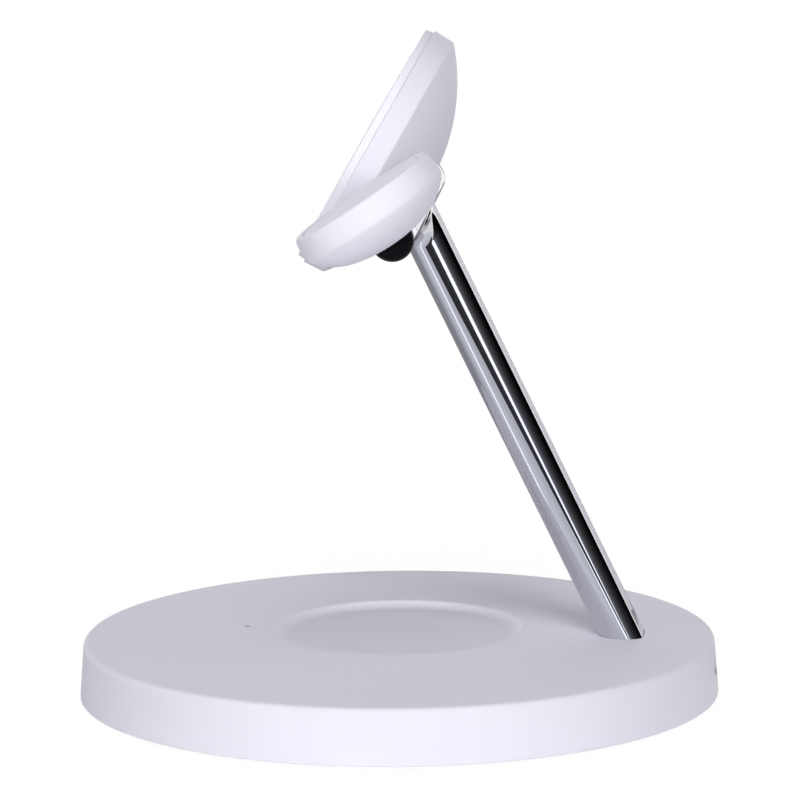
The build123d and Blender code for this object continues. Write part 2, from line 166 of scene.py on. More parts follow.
# finishes
def newFinish(name):
    finish = bpy.data.materials.new(name)
    finish.use_nodes = True
    tree = finish.node_tree
    where = tree.nodes.new("ShaderNodeTexCoord").outputs["Object"]
    return finish, tree, tree.nodes["Principled BSDF"], where


def cloud(tree, where, scale, detail=3.0):
    return put(tree, "ShaderNodeTexNoise", {}, where, None, scale, detail).outputs[0]


def spread(tree, value, low, high):
    return put(tree, "ShaderNodeMapRange", {}, value, 0.3, 0.7, low, high).outputs[0]


def tint(tree, factor, first, second):
    blend = put(tree, "ShaderNodeMix", {"data_type": "RGBA"}, factor)
    blend.inputs[6].default_value = (*first, 1)
    blend.inputs[7].default_value = (*second, 1)
    return blend.outputs[2]


def relief(tree, shader, height, strength, depth):
    bump = put(tree, "ShaderNodeBump", {}, strength, depth)
    tree.links.new(height, bump.inputs["Height"])
    tree.links.new(bump.outputs[0], shader.inputs["Normal"])


grainDepth = 0.02  # height of a moulded surface's grain


def surface(name, look):
    # one moulded, plated or polished surface from its dictionary
    finish, tree, shader, where = newFinish(name)
    broad = cloud(tree, where, look.get("patch", 28))
    grain = cloud(tree, where, look.get("grain", 2600), 2.0)
    colour = tint(tree, broad, look["colour"], look["shade"])
    tree.links.new(colour, shader.inputs["Base Color"])
    low, high = look["rough"]
    tree.links.new(spread(tree, grain, low, high), shader.inputs["Roughness"])
    shader.inputs["Metallic"].default_value = look.get("metal", 0)
    shader.inputs["Specular IOR Level"].default_value = look.get("specular", 0.5)
    shader.inputs["Coat Weight"].default_value = look.get("coat", 0)
    shader.inputs["Coat Roughness"].default_value = look.get("coatRough", 0.05)
    if look.get("relief"):
        relief(tree, shader, grain, look["relief"], grainDepth * mm)
    return finish


whiteLook = {"colour": (0.80, 0.786, 0.893), "shade": (0.78, 0.767, 0.871), "rough": (0.46, 0.56),
             "specular": 0.35, "relief": 0.25}
# painted light: the front disc's colour is the satin white made lighter, for the light its front face and edge
# catch
litDiscLook = {"colour": (0.865, 0.85, 0.95), "shade": (0.85, 0.836, 0.93), "rough": (0.46, 0.56),
            "specular": 0.3, "relief": 0.25}
chromeLook = {"colour": (0.66, 0.665, 0.70), "shade": (0.635, 0.64, 0.675), "rough": (0.025, 0.045),
              "metal": 1, "patch": 60, "grain": 900}
blackLook = {"colour": (0.004, 0.004, 0.006), "shade": (0.006, 0.006, 0.008), "rough": (0.14, 0.20),
             "specular": 0.3}
# painted shade: the rear strip's colour is the satin white darkened to the tone it has in shade
shadedCoverLook = {"colour": (0.75, 0.738, 0.832), "shade": (0.73, 0.718, 0.81), "rough": (0.40, 0.48),
             "specular": 0.15}
# painted shade: the watch face's colour is the satin white made darker and bluer, for the shade on a face turned
# from the lamps
shadedFaceLook = {"colour": (0.77, 0.755, 0.88), "shade": (0.75, 0.736, 0.86), "rough": (0.34, 0.42),
            "specular": 0.3}
lampLook = {"colour": (0.05, 0.05, 0.06), "shade": (0.08, 0.08, 0.09), "rough": (0.15, 0.25)}
rubberLook = {"colour": (0.05, 0.05, 0.055), "shade": (0.065, 0.065, 0.07), "rough": (0.75, 0.9),
              "grain": 1400, "relief": 0.5}
finishes = {
    "white_plastic": surface("satinWhite", whiteLook),
    "polished_chrome": surface("polishedChrome", chromeLook),
    "black_gloss": surface("glossBlack", blackLook),
    # painted shade in the rear strip's colour
    "pale_cover": surface("paleCoverPaintedShade", shadedCoverLook),
    # painted shade in the watch face's colour
    "face_grey": surface("faceGreyPaintedShade", shadedFaceLook),
    "lamp_clear": surface("lampWindow", lampLook),
    "grey_rubber": surface("softFoot", rubberLook),
    "dark_plastic": surface("darkMoulding", {"colour": (0.06, 0.06, 0.065), "shade": (0.075, 0.075, 0.08),
                                             "rough": (0.5, 0.6), "relief": 0.3}),
    "ballast_steel": surface("ballastPlate", {"colour": (0.20, 0.20, 0.21), "shade": (0.27, 0.27, 0.28),
                                              "rough": (0.4, 0.55), "metal": 1, "patch": 80}),
    "board_green": surface("solderMask", {"colour": (0.02, 0.16, 0.07), "shade": (0.03, 0.20, 0.09),
                                          "rough": (0.3, 0.42), "grain": 700}),
    "bright_steel": surface("platedSteel", {"colour": (0.62, 0.62, 0.64), "shade": (0.70, 0.70, 0.72),
                                            "rough": (0.18, 0.3), "metal": 1, "patch": 150}),
    "coil_copper": surface("enamelledCopper", {"colour": (0.72, 0.32, 0.14), "shade": (0.62, 0.26, 0.11),
                                               "rough": (0.2, 0.32), "metal": 1, "patch": 200}),
    "ferrite": surface("ferriteSheet", {"colour": (0.05, 0.05, 0.05), "shade": (0.07, 0.07, 0.07),
                                        "rough": (0.6, 0.75), "relief": 0.4}),
    "lamp_body": surface("lampChip", {"colour": (0.80, 0.76, 0.45), "shade": (0.85, 0.82, 0.55),
                                      "rough": (0.35, 0.45)}),
    "bracket_aluminium": surface("castAluminium", {"colour": (0.62, 0.62, 0.64),
                                                   "shade": (0.70, 0.70, 0.72),
                                                   "rough": (0.4, 0.55), "metal": 1, "relief": 0.4}),
    "lead_rubber": surface("leadSheath", {"colour": (0.03, 0.03, 0.03), "shade": (0.04, 0.04, 0.04),
                                          "rough": (0.55, 0.7)}),
    "magnet_nickel": surface("nickelMagnet", {"colour": (0.58, 0.56, 0.52), "shade": (0.66, 0.64, 0.60),
                                              "rough": (0.2, 0.3), "metal": 1, "patch": 150}),
    "clamp_steel": surface("clampChrome", {"colour": (0.80, 0.81, 0.85), "shade": (0.76, 0.77, 0.81),
                                           "rough": (0.05, 0.09), "metal": 1, "patch": 90, "grain": 900}),
}
for part in frame["record"]["subparts"]:
    for spot in frame["nodes"][part["node"]].material_slots:
        spot.material = finishes[part["material_slot"]]
print("finishes made:", len(finishes))


# turned shapes: a profile of (radius, height) points spun about Z by a node tree
def turnTree():
    tree, given = newTree("turnProfile", Geometry="Geometry", Segments="Int", Finish="Material")
    profile, segments, finish = given[0], given[1], given[2]
    count = put(tree, "GeometryNodeAttributeDomainSize", {}, profile).outputs[0]
    columns = calc(tree, "ADD", segments, 1)
    grid = put(tree, "GeometryNodeMeshGrid", {}, 1, 1, columns, count).outputs[0]
    position = tree.nodes.new("GeometryNodeInputPosition").outputs[0]
    onGrid = put(tree, "ShaderNodeSeparateXYZ", {}, position).outputs
    angle = calc(tree, "MULTIPLY", calc(tree, "ADD", onGrid[0], 0.5), math.tau)
    rows = calc(tree, "SUBTRACT", count, 1)
    row = calc(tree, "ROUND", calc(tree, "MULTIPLY", calc(tree, "ADD", onGrid[1], 0.5), rows))
    sample = put(tree, "GeometryNodeSampleIndex", {"data_type": "FLOAT_VECTOR"}, profile, position, row)
    onProfile = put(tree, "ShaderNodeSeparateXYZ", {}, sample.outputs[0]).outputs
    x = calc(tree, "MULTIPLY", onProfile[0], calc(tree, "COSINE", angle))
    y = calc(tree, "MULTIPLY", onProfile[0], calc(tree, "SINE", angle))
    spun = put(tree, "ShaderNodeCombineXYZ", {}, x, y, onProfile[2]).outputs[0]
    moved = put(tree, "GeometryNodeSetPosition", {}, grid, None, spun).outputs[0]
    merged = put(tree, "GeometryNodeMergeByDistance", {}, moved)
    merged.inputs["Distance"].default_value = weld
    closeTree(tree, merged.outputs[0], finish)
    return tree


turning = turnTree()


def turned(name, profile, segments, finish):
    seed = bpy.data.meshes.new(name + "Profile")
    points = [(r * mm, 0, z * mm) for r, z in easeCorners(profile)]
    seed.from_pydata(points, [(i, i + 1) for i in range(len(points) - 1)], [])
    piece = grow(name, turning, seed, Segments=segments, Finish=finish)
    faceOutwards(piece)
    return piece


def tangentArc(start, heading, end, steps):
    # points after start on the arc that leaves start along heading and ends at end
    start, end = Vector(start), Vector(end)
    chord = end - start
    turn = math.remainder(math.atan2(chord.y, chord.x) - heading, math.tau)
    width = chord.length / math.sin(turn)
    points = []
    for i in range(1, steps + 1):
        part = turn * i / steps
        reach = width * math.sin(part)
        way = heading + part
        points.append((start.x + reach * math.cos(way), start.y + reach * math.sin(way)))
    return points


def easeCorners(profile, steps=7):
    # a point (r, z, reach) becomes a small curve that starts and ends at that distance from it
    points = [Vector(point[:2]) for point in profile]
    along = [0.0]
    for before, after in zip(points, points[1:]):
        along.append(along[-1] + (after - before).length)

    def at(distance):
        for i in range(len(points) - 1):
            if distance <= along[i + 1]:
                share = (distance - along[i]) / (along[i + 1] - along[i])
                return points[i].lerp(points[i + 1], share)
        return points[-1]

    spans = [(along[i] - p[2], along[i] + p[2], points[i]) for i, p in enumerate(profile) if len(p) > 2]
    eased = []
    for i, point in enumerate(points):
        inside = [span for span in spans if span[0] < along[i] < span[1]]
        if not inside:
            eased.append(point)
        elif inside[0][2] == point:
            low, high = at(inside[0][0]), at(inside[0][1])
            for k in range(steps + 1):
                share = k / steps
                eased.append(low.lerp(point, share).lerp(point.lerp(high, share), share))
    return [tuple(point) for point in eased]


def boxTool(name, low, high):
    xs, ys, zs = zip(low, high)
    points = [(x, y, z) for x in xs for y in ys for z in zs]
    faces = [(0, 1, 3, 2), (4, 6, 7, 5), (0, 4, 5, 1), (2, 3, 7, 6), (0, 2, 6, 4), (1, 5, 7, 3)]
    return meshPiece(name, points, faces)


def circle(radius, sides):
    turns = [math.tau * i / sides for i in range(sides)]
    return [(radius * math.cos(turn), radius * math.sin(turn)) for turn in turns]


def rodTool(name, radius, x0, x1, sides=96):
    points = [(x, y, z) for x in (x0, x1) for y, z in circle(radius, sides)]
    faces = [(i, (i + 1) % sides, sides + (i + 1) % sides, sides + i) for i in range(sides)]
    faces += [tuple(range(sides)), tuple(range(sides, 2 * sides))]
    return meshPiece(name, points, faces)


# base
base = {"topRadius": 65.6, "edgeHeight": 12.15, "crown": 2.4, "crownSteps": 30, "edgeEase": 1.15,
        "lipHeight": 0.6, "lipEase": 0.3, "wall": 2.2, "wallLean": 1.0, "topWall": 2.0, "roofRise": 1.6,
        "dishRadius": 25.7, "dishDepth": 1.8, "dishCove": 2.4, "dishCrown": 0.3, "rimEase": 0.45,
        "dishWall": 1.5, "dishRoom": 2.0, "stemGap": 0.1, "stemCut": (-12, 8), "portCut": 6.0,
        "wellCut": 2.0, "dishSteps": 12, "coveSteps": 10, "segments": 320}
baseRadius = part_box("base_shell")[1].x / mm
crownRadius = (base["topRadius"] ** 2 + base["crown"] ** 2) / (2 * base["crown"])


def crownHeight(r):
    return base["edgeHeight"] + base["crown"] - crownRadius + math.sqrt(crownRadius ** 2 - r ** 2)


def baseProfile():
    edge = base["dishRadius"]
    floorEdge = edge - base["dishCove"]
    low = crownHeight(edge) - base["dishDepth"]
    coveLow = low + base["dishCrown"]
    coveHeading = 2 * math.atan2(base["dishCrown"], floorEdge)
    inside = baseRadius - base["wall"]
    ceiling = base["edgeHeight"] - base["topWall"]
    seat = low - base["dishWall"]
    profile = [(0, low)]
    rim = (edge, crownHeight(edge))
    profile += tangentArc((0, low), 0, (floorEdge, coveLow), base["dishSteps"])
    profile += tangentArc((floorEdge, coveLow), coveHeading, rim, base["coveSteps"])
    profile[-1] = (*profile[-1], base["rimEase"])
    for i in range(1, base["crownSteps"] + 1):
        r = edge + (base["topRadius"] - edge) * i / base["crownSteps"]
        profile.append((r, crownHeight(r)))
    profile[-1] = (*profile[-1], base["edgeEase"])
    profile.append((baseRadius, base["lipHeight"], base["lipEase"]))
    profile += [(inside, base["lipHeight"]), (inside - base["wallLean"], ceiling)]
    profile.append((edge + base["dishRoom"], ceiling + base["roofRise"]))
    profile += [(edge + base["dishWall"], seat), (0, seat)]
    return profile


# what the base makes room for: stem, inlet and lamp
stem = {"width": 13.4, "depth": 8.15, "corner": 3.9, "footInset": 20.1, "flare": 4.0, "flareEdge": 0.25,
        "flareSteps": 20, "stripDepth": 0.8, "stripFoot": 3.0, "stripGap": 0.15, "stripEase": 0.12,
        "stripTurn": 10, "arcSteps": 14, "below": 9.0, "rings": (15, 30, 45, 60, 75), "crease": 40}
stem["stripWidth"] = stem["width"] - 2 * stem["corner"]
stemFootY = baseRadius - stem["footInset"]
stemFoot = Vector((0, stemFootY, crownHeight(stemFootY)))
stemRise = barMiddle / mm - stemFoot
stemLength = stemRise.length
stemLean = math.atan2(-stemRise.y, stemRise.z)
stemFrame = Matrix.Translation(stemFoot * mm) @ Matrix.Rotation(stemLean, 4, "X")
inlet = {"width": 8.94, "height": 3.26, "skin": 0.3, "port": 0.12, "inset": 0.6, "tongueWidth": 6.7,
         "tongueThick": 0.7, "tongueLength": 4.4, "contacts": 12, "contactPitch": 0.5, "contactWidth": 0.28,
         "contactRise": 0.05, "contactStart": 1.0, "contactEnd": 0.5}
inletLow, inletHigh = (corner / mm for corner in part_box("usb_c_receptacle"))
inletMiddle = (inletLow + inletHigh) / 2


def slotRing(width, height, y, steps=12):
    # stadium outline across Y, round the inlet's middle
    radius = height / 2
    run = width / 2 - radius
    points = []
    for side in (1, -1):
        for i in range(steps + 1):
            turn = math.pi * (i / steps - 0.5)
            rise = side * radius * math.sin(turn)
            points.append((side * (run + radius * math.cos(turn)), y, inletMiddle.z + rise))
    return points


def ringLoft(name, rings, finish=None, capped=True):
    count = len(rings[0])
    points = [point for ring in rings for point in ring]
    faces = []
    for k in range(len(rings) - 1):
        for i in range(count):
            j = (i + 1) % count
            faces.append((k * count + i, k * count + j, (k + 1) * count + j, (k + 1) * count + i))
    if capped:
        faces += [tuple(range(count)), tuple(range(len(points) - count, len(points)))]
    return meshPiece(name, points, faces, finish)


def stemOutline(grown=0.0):
    # closed outline round the stem, from the middle of its back, as (x, y)
    halfX, halfY, corner = stem["width"] / 2 + grown, stem["depth"] / 2 + grown, stem["corner"] + grown
    outline = []
    for k, (sideX, sideY) in enumerate(((1, 1), (1, -1), (-1, -1), (-1, 1))):
        for i in range(stem["arcSteps"] + 1):
            turn = math.radians(90 - 90 * k - 90 * i / stem["arcSteps"])
            outline.append((sideX * (halfX - corner) + corner * math.cos(turn),
                            sideY * (halfY - corner) + corner * math.sin(turn)))
    return outline


lamp = {"radius": 0.75, "seatRadius": 1.2, "seatDrop": 0.2, "sunk": 0.12, "hole": 0.8, "ease": 0.15,
        "segments": 40}
lampLow, lampHigh = (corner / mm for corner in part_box("lamp_light_pipe"))
lampY = (lampLow.y + lampHigh.y) / 2


def makeBase():
    shell = turned("baseShell", baseProfile(), base["segments"], finishes["white_plastic"])
    hole = [[(x, y, z) for x, y in stemOutline(base["stemGap"])] for z in base["stemCut"]]
    socket = ringLoft("stemSocket", hole)
    socket.data.transform(stemFrame)
    gap = 2 * inlet["port"]
    ends = (baseRadius - base["portCut"], baseRadius + base["portCut"])
    port = [slotRing(inlet["width"] + gap, inlet["height"] + gap, y) for y in ends]
    ends = (lampLow.z - base["wellCut"], lampHigh.z + base["wellCut"])
    well = [[(x, lampY + y, z) for x, y in circle(lamp["hole"], lamp["segments"])] for z in ends]
    carve(shell, ("DIFFERENCE", socket), ("DIFFERENCE", ringLoft("inletPort", port)),
          ("DIFFERENCE", ringLoft("lampWell", well)))
    place(shell, "base", ["base_shell"])


foot = {"lowEase": 0.4, "topEase": 0.3, "segments": 192}


def makeFoot():
    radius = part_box("rubber_foot")[1].x / mm
    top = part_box("rubber_foot")[1].z / mm
    profile = [(0, 0), (radius, 0, foot["lowEase"]), (radius, top, foot["topEase"]), (0, top)]
    pad = turned("footPad", profile, foot["segments"], finishes["grey_rubber"])
    place(pad, "base", ["rubber_foot"])


def makeLamp():
    top = lampHigh.z - lamp["sunk"]
    seat = lampHigh.z - base["topWall"] - lamp["seatDrop"]
    profile = [(0, top), (lamp["radius"], top, lamp["ease"]), (lamp["radius"], seat)]
    profile += [(lamp["seatRadius"], seat), (lamp["seatRadius"], lampLow.z), (0, lampLow.z)]
    pipe = turned("lampWindow", profile, lamp["segments"], finishes["lamp_clear"])
    spot = Matrix.Translation((0, lampY * mm, 0))
    place(pipe, "base", ["lamp_light_pipe"], spot)


# inlet: a drawn can, a tongue, and contacts set along it by a node tree
def contactTree():
    tree, given = newTree("contactRow", Geometry="Geometry", Count="Int", Pitch="Float", Finish="Material")
    row = put(tree, "GeometryNodeMeshLine", {"mode": "OFFSET"}, given[1])
    row.inputs["Start Location"].default_value = (0, 0, 0)
    offset = put(tree, "ShaderNodeCombineXYZ", {}, given[2]).outputs[0]
    tree.links.new(offset, row.inputs["Offset"])
    copies = put(tree, "GeometryNodeInstanceOnPoints", {}, row.outputs[0], None, given[0]).outputs[0]
    closeTree(tree, copies, given[3])
    return tree


def makeInlet():
    skin = 2 * inlet["skin"]
    front = inletHigh.y - inlet["inset"]
    mouth = inletHigh.y - inlet["tongueLength"] - inlet["skin"]
    can = [slotRing(inlet["width"], inlet["height"], y) for y in (inletLow.y, front)]
    can += [slotRing(inlet["width"] - skin, inlet["height"] - skin, y) for y in (front, mouth)]
    shell = ringLoft("inletCan", can, finishes["bright_steel"])
    place(shell, "base", ["usb_c_receptacle"])
    halfW, halfT, middle = inlet["tongueWidth"] / 2, inlet["tongueThick"] / 2, inletMiddle.z
    tip = mouth + inlet["tongueLength"] - inlet["inset"]
    tongue = boxTool("inletTongue", (-halfW, mouth, middle - halfT), (halfW, tip, middle + halfT))
    tongue.data.materials.append(finishes["dark_plastic"])
    place(tongue, "base", [])
    rows = contactTree()
    span = inlet["contactPitch"] * (inlet["contacts"] - 1) / 2
    halfC, rise = inlet["contactWidth"] / 2, inlet["contactRise"]
    for label, side in (("Upper", 1), ("Lower", -1)):
        face = middle + side * halfT
        low = (-span - halfC, mouth + inlet["contactStart"], face - rise)
        high = (-span + halfC, tip - inlet["contactEnd"], face + rise)
        one = boxTool("contactSeed", low, high)
        contacts = grow("inletContacts" + label, rows, one.data, Count=inlet["contacts"],
                        Pitch=inlet["contactPitch"] * mm, Finish=finishes["coil_copper"])
        bpy.data.objects.remove(one)
        place(contacts, "base", [])


makeBase()
makeFoot()
makeLamp()
makeInlet()
print("base made")


# stem: one outline carried up its lean, with a recess for the rear strip and a flare under the bar
def stripHalfWidth(z, grown=0.0):
    # half width of the round-ended strip at a height above its foot
    half = stem["stripWidth"] / 2 - grown
    above = z - stem["stripFoot"] - grown
    if above <= 0:
        return 0.0
    return half if above >= half else math.sqrt(half ** 2 - (half - above) ** 2)


def saddleTop(y, radius):
    return stemLength - math.sqrt(radius ** 2 - y ** 2)


def stemRing(z, drop=None, radius=0.0):
    # a plain height z, or a drop below the bar's surface of that radius
    half = stripHalfWidth(z)
    back = stem["depth"] / 2
    bed = back - (stem["stripDepth"] if half else 0)
    recess = [(-half, back), (-half, bed), (half, bed), (half, back)]
    if drop is None:
        return [(x, y, z) for x, y in stemOutline() + recess]
    rise = 1 - drop / stem["flare"]
    wider = stem["flare"] * (1 - math.sqrt(max(0.0, 1 - rise ** 2)))
    flat = stem["stripWidth"] / 2
    ring = []
    for x, y in stemOutline() + recess:
        share = max(0.0, abs(x) - flat) / stem["corner"]
        ring.append((x + math.copysign(wider * share, x), y, saddleTop(y, radius) - drop))
    return ring


def makeStem():
    start, half = stem["stripFoot"], stem["stripWidth"] / 2
    heights = [-stem["below"], 0, start]
    heights += [start + half * (1 - math.cos(math.radians(a)))
                for a in range(stem["stripTurn"], 91, stem["stripTurn"])]
    heights += stem["rings"]
    drops = [stem["flare"] * (1 - i / stem["flareSteps"]) for i in range(stem["flareSteps"] + 1)]
    edge = barRadius + stem["flareEdge"]
    rings = [stemRing(z) for z in heights] + [stemRing(stemLength, drop, edge) for drop in drops]
    rings.append(stemRing(stemLength, 0, barRadius))
    tube = ringLoft("stemTube", rings, finishes["polished_chrome"])
    place(tube, "base", ["stem_tube"], stemFrame, stem["crease"])


def makeStrip():
    gap, ease = stem["stripGap"], stem["stripEase"]
    half = stem["stripWidth"] / 2 - gap
    roundZ = stem["stripFoot"] + gap + half  # middle of the round lower end
    back, bed = stem["depth"] / 2, stem["depth"] / 2 - stem["stripDepth"]
    top = saddleTop(back, barRadius)
    outline = [(half * math.cos(math.radians(a)), roundZ + half * math.sin(math.radians(a)))
               for a in range(180, 361, stem["stripTurn"])]
    outline += [(half, top), (-half, top)]
    inner = [(x * (1 - ease / half), z + (ease if z < roundZ else 0)) for x, z in outline]
    rings = [[(x, bed, z) for x, z in outline], [(x, back - ease, z) for x, z in outline],
             [(x, back, z) for x, z in inner]]
    # the strip's finish is painted shade: the satin white made darker
    strip = ringLoft("stemStrip", rings, finishes["pale_cover"])
    place(strip, "base", ["stem_rear_cover"], stemFrame)


# cross bar and its end caps, turned about the bar's line
bar = {"spigot": 2.4, "shoulderEase": 0.25, "capEase": 0.5, "capInnerEase": 0.12, "capThick": 1.6,
       "clamp": 6.4, "clampPlay": 0.2, "segments": 128}
phoneX, watchX = jointAt["phone_tilt"].x / mm, jointAt["watch_tilt"].x / mm


def makeBar():
    low, high = -abs(phoneX) + bar["capThick"], watchX - bar["capThick"]
    reach = bar["clamp"] + 2 * bar["clampPlay"]
    profile = [(0, low), (bar["spigot"], low), (bar["spigot"], low + reach)]
    profile += [(barRadius, z, bar["shoulderEase"]) for z in (low + reach, high - reach)]
    profile += [(bar["spigot"], high - reach), (bar["spigot"], high), (0, high)]
    rod = turned("crossBar", profile, bar["segments"], finishes["polished_chrome"])
    place(rod, "base", ["cross_bar"], alongX)
    caps = (("watchCap", "watch_bar_cap", high, 1), ("phoneCap", "phone_bar_cap", low, -1))
    for name, node, end, way in caps:
        outer = end + way * bar["capThick"]
        profile = [(0, end), (barRadius, end, bar["capInnerEase"])]
        profile += [(barRadius, outer, bar["capEase"]), (0, outer)]
        cap = turned(name, profile, bar["segments"], finishes["black_gloss"])
        place(cap, "base", [node], alongX)


makeStem()
makeStrip()
makeBar()
print("stem and bar made")


# heads: built with the bar's line at the origin and Z out of the charging face
groove = {"clear": 0.3, "wall": 1.1, "endClear": 0.3, "toolSegments": 96}


def seatOnBar(shell, solid, side, reach):
    # a sleeve round the bar, open at the back of the head, with room for the clamp
    inner = barRadius + groove["clear"]
    outer = inner + groove["wall"]
    end = side * groove["endClear"]
    sleeve = rodTool("sleeve", outer, end + side * groove["wall"], -side * 2 * reach)
    carve(sleeve, ("INTERSECT", solid))
    window = boxTool("clampRoom", (-2 * reach, -reach, 0), (2 * reach, reach, 2 * reach))
    carve(sleeve, ("DIFFERENCE", window))
    carve(shell, ("UNION", sleeve), ("DIFFERENCE", rodTool("groove", inner, end, -side * 2 * reach)))


phone = {"tilt": 60.1, "radius": 27.9, "face": 15.3, "discThick": 1.7, "discEase": 0.25, "discFront": 27.4,
         "discBack": 27.6, "discCrown": 0.3, "seam": 0.02, "rimFront": 28.1, "rimEnd": 6.4, "depth": 16.8,
         "wall": 1.6, "spigot": 0.9, "spigotGap": 0.1, "ledge": 0.5, "edgeEase": 0.2, "creaseEase": 0.35,
         "domeSteps": 40, "roomSteps": 24, "faceSteps": 20, "segments": 224}
phoneTurn = Matrix.Rotation(math.radians(phone["tilt"]), 4, "X")
phoneFrame = Matrix.Translation(jointAt["phone_tilt"]) @ phoneTurn


def makePhone():
    r, face = phone["radius"], phone["face"]
    seam = face - phone["discThick"] - phone["seam"]
    seat = seam - phone["spigot"]
    rim, back = face - phone["rimEnd"], face - phone["depth"]
    inner = r - phone["wall"]
    room = inner - phone["ledge"]
    dome = [(0, back)] + tangentArc((0, back), 0, (r, rim), phone["domeSteps"])
    dome[-1] = (*dome[-1], phone["creaseEase"])
    outside = dome + [(phone["rimFront"], seam, phone["edgeEase"])]
    roof = (0, back + phone["wall"])
    roomDome = [roof] + tangentArc(roof, 0, (room, rim), phone["roomSteps"])
    shell = turned("phoneShell", outside + [(inner, seam), (inner, seat), (room, seat)] + roomDome[::-1],
                   phone["segments"], finishes["white_plastic"])
    solid = turned("phoneSolid", dome + [(r, seam), (0, seam)], groove["toolSegments"],
                   finishes["white_plastic"])
    seatOnBar(shell, solid, -1, r)
    place(shell, "phone_head", ["phone_shell"], phoneFrame)
    under = face - phone["discThick"]
    top = face + phone["discCrown"]
    profile = [(0, top)] + tangentArc((0, top), 0, (phone["discFront"], face), phone["faceSteps"])
    profile[-1] = (*profile[-1], phone["discEase"])
    spigot = inner - phone["spigotGap"]
    profile += [(phone["discBack"], under), (spigot, under), (spigot, seat), (0, seat)]
    # the disc's finish holds painted light, a lighter copy of the satin white
    disc = turned("phoneDisc", profile, phone["segments"], surface("discWhitePaintedLight", litDiscLook))
    place(disc, "phone_head", ["phone_front_disc"], phoneFrame)


watch = {"tilt": 33.7, "drop": 0.2, "face": 10.9, "lipRadius": 15.4, "lipEase": 0.5, "bandRadius": 16.0,
         "bandDepth": 5.0, "bandLean": 2.0, "creaseEase": 0.5, "backSlope": 33.0, "depth": 11.5, "wall": 1.4,
         "faceRadius": 13.6, "faceThick": 1.4, "hollow": 0.5, "sunk": 0.1, "ledge": 1.0, "innerEase": 0.25,
         "faceGap": 0.1, "faceEase": 0.2, "domeSteps": 36, "roomSteps": 24, "bandSteps": 10, "faceSteps": 20,
         "segments": 192, "faceSegments": 160}
watchTurn = Matrix.Rotation(math.radians(watch["tilt"]), 4, "X")
watchFrame = Matrix.Translation(jointAt["watch_tilt"]) @ watchTurn


def makeWatch():
    face = watch["face"]
    seat = face - watch["sunk"] - watch["faceThick"]
    backRun = (watch["depth"] - watch["bandDepth"]) * math.tan(math.radians(watch["backSlope"]))

    def back(inset, steps):
        # the dome, from its pole to the crease where the band starts
        wide = watch["bandRadius"] - inset
        pole = Vector((0, face - watch["depth"] + inset))
        crease = Vector((wide, face - watch["bandDepth"]))
        bend = Vector((wide - backRun, pole.y))
        shares = [i / steps for i in range(steps + 1)]
        return [tuple(pole.lerp(bend, t).lerp(bend.lerp(crease, t), t)) for t in shares]

    dome = back(0, watch["domeSteps"])
    lip = (watch["lipRadius"], face)
    band = tangentArc(dome[-1], math.radians(90 - watch["bandLean"]), lip, watch["bandSteps"])
    band[-1] = (*lip, watch["lipEase"])
    dome[-1] = (*dome[-1], watch["creaseEase"])
    opening = watch["faceRadius"]
    ledge = opening - watch["ledge"]
    under = seat - watch["ledge"]
    room = back(watch["wall"], watch["roomSteps"])
    inside = [(opening, face, watch["innerEase"]), (opening, seat), (ledge, seat), (ledge, under)]
    inside.append((room[-1][0], under))
    shell = turned("watchShell", dome + band + inside + room[::-1], watch["segments"],
                   finishes["white_plastic"])
    solid = turned("watchSolid", dome + band + [(0, face)], groove["toolSegments"],
                   finishes["white_plastic"])
    below = Matrix.Translation((0, -watch["drop"] * mm, 0))
    for body in (shell, solid):
        body.data.transform(below)
    seatOnBar(shell, solid, 1, watch["bandRadius"])
    place(shell, "watch_head", ["watch_shell"], watchFrame)
    r, top = opening - watch["faceGap"], face - watch["sunk"]
    low = top - watch["hollow"]
    profile = [(0, low)] + tangentArc((0, low), 0, (r, top), watch["faceSteps"])
    profile[-1] = (r, top, watch["faceEase"])
    profile += [(r, seat), (0, seat)]
    # the face's finish holds painted shade
    puck = turned("watchFace", profile, watch["faceSegments"], finishes["face_grey"])
    place(puck, "watch_head", ["watch_face"], watchFrame @ below)


makePhone()
makeWatch()
print("heads made")


# floor, light and camera
floor = {"half": 6.0, "level": -0.0002, "colour": (0.86, 0.86, 0.88), "rough": 0.9, "glow": 1.03,
         "share": 0.94}
studio = {"fill": 0.24, "shown": 1.0, "flagTint": (0.90, 0.91, 1.0), "warm": (1.0, 0.995, 0.93),
          "plain": (1, 1, 1)}
softboxes = {  # places and sizes in metres
    "key": {"spot": (0.72, 0.0, 1.12), "size": (0.55, 0.55), "power": 6.1, "tint": studio["plain"]},
    "left": {"spot": (1.36, -0.9, 0.17), "size": (0.8, 0.3), "power": 7.4, "tint": studio["warm"]},
    "right": {"spot": (1.36, 0.9, 0.17), "size": (0.8, 0.3), "power": 8.6, "tint": studio["warm"]},
    "rearLeft": {"spot": (-1.3, -0.6, 0.2), "size": (0.8, 0.4), "power": 4.4, "tint": studio["plain"]},
    "rearRight": {"spot": (-1.3, 0.6, 0.2), "size": (0.8, 0.4), "power": 4.0, "tint": studio["plain"]}}
lie = 0.0006  # height of the cards that lie on the floor
